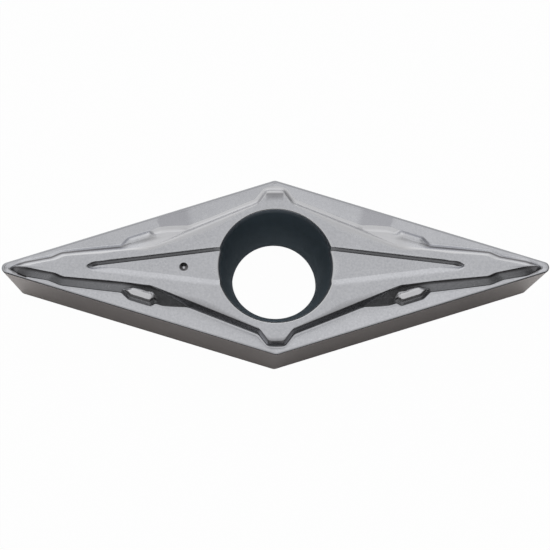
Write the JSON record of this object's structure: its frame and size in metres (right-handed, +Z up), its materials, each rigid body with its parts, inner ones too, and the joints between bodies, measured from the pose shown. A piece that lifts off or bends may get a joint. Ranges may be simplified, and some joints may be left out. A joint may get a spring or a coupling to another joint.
{
  "type": "carbide insert",
  "caption": "Double-ended 35 degree diamond turning insert with a pressed chip breaker and a countersunk screw hole.",
  "frame": {"origin": "centre of the flat bottom face, on the axis of the screw hole", "axes": "+Z up out of the seat towards the rake face, +X along the long diagonal towards one nose, +Y along the short diagonal"},
  "size_m": [0.0302, 0.01, 0.0051],
  "materials": {
    "cemented_carbide": "satin"
  },
  "bodies": {
    "root": {"insert": "cemented_carbide"}
  },
  "joints": []
}
